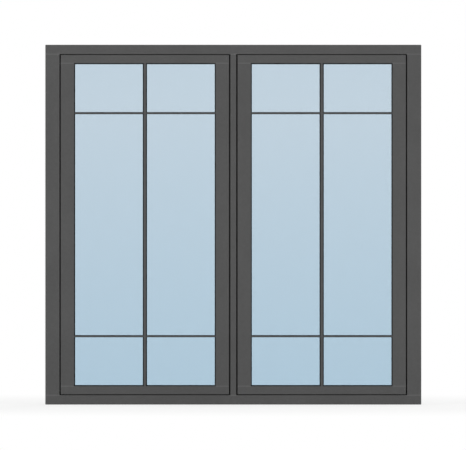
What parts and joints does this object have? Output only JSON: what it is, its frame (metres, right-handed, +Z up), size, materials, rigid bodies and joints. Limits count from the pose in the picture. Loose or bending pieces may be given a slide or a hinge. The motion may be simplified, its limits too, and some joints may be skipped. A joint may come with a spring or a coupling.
{
  "type": "steel framed window",
  "caption": "Steel framed casement window with a slim mullion, two shut sashes and thin glazing bars over sealed double glazing, for fixing in a wall opening.",
  "frame": {"origin": "middle of the sill's underside, at half the frame's depth", "axes": "+X to the right seen from outside, +Y from outside to inside, +Z up"},
  "size_m": [1.254, 0.09, 1.2],
  "materials": {
    "steel_paint": "dark grey powder coat",
    "pane_glass": "clear float glass",
    "rubber_gasket": "extruded, matt",
    "spacer_aluminium": "grey anodised",
    "block_plastic": "moulded",
    "pivot_steel": "black oxide",
    "screw_steel": "stainless",
    "handle_paint": "satin black"
  },
  "bodies": {
    "root": {"frame_head": "steel_paint", "frame_sill": "steel_paint", "frame_left_jamb": "steel_paint", "frame_right_jamb": "steel_paint", "frame_mullion": "steel_paint", "left_sash_top_rail": "steel_paint", "left_sash_bottom_rail": "steel_paint", "left_sash_hinge_stile": "steel_paint", "left_sash_lock_stile": "steel_paint", "left_outer_upright_bar": "steel_paint", "left_outer_cross_bars": "steel_paint", "left_inner_upright_bar": "steel_paint", "left_inner_cross_bars": "steel_paint", "left_level_beads": "steel_paint", "left_upright_beads": "steel_paint", "left_outer_gasket": "rubber_gasket", "left_inner_gasket": "rubber_gasket", "left_weather_seal": "rubber_gasket", "left_outer_glass": "pane_glass", "left_inner_glass": "pane_glass", "left_glass_spacer": "spacer_aluminium", "left_pivots": "pivot_steel", "left_setting_blocks": "block_plastic", "left_handle_plate": "handle_paint", "left_handle_lever": "handle_paint", "right_sash_top_rail": "steel_paint", "right_sash_bottom_rail": "steel_paint", "right_sash_hinge_stile": "steel_paint", "right_sash_lock_stile": "steel_paint", "right_outer_upright_bar": "steel_paint", "right_outer_cross_bars": "steel_paint", "right_inner_upright_bar": "steel_paint", "right_inner_cross_bars": "steel_paint", "right_level_beads": "steel_paint", "right_upright_beads": "steel_paint", "right_outer_gasket": "rubber_gasket", "right_inner_gasket": "rubber_gasket", "right_weather_seal": "rubber_gasket", "right_outer_glass": "pane_glass", "right_inner_glass": "pane_glass", "right_glass_spacer": "spacer_aluminium", "right_pivots": "pivot_steel", "right_setting_blocks": "block_plastic", "right_handle_plate": "handle_paint", "right_handle_lever": "handle_paint"}
  },
  "joints": []
}
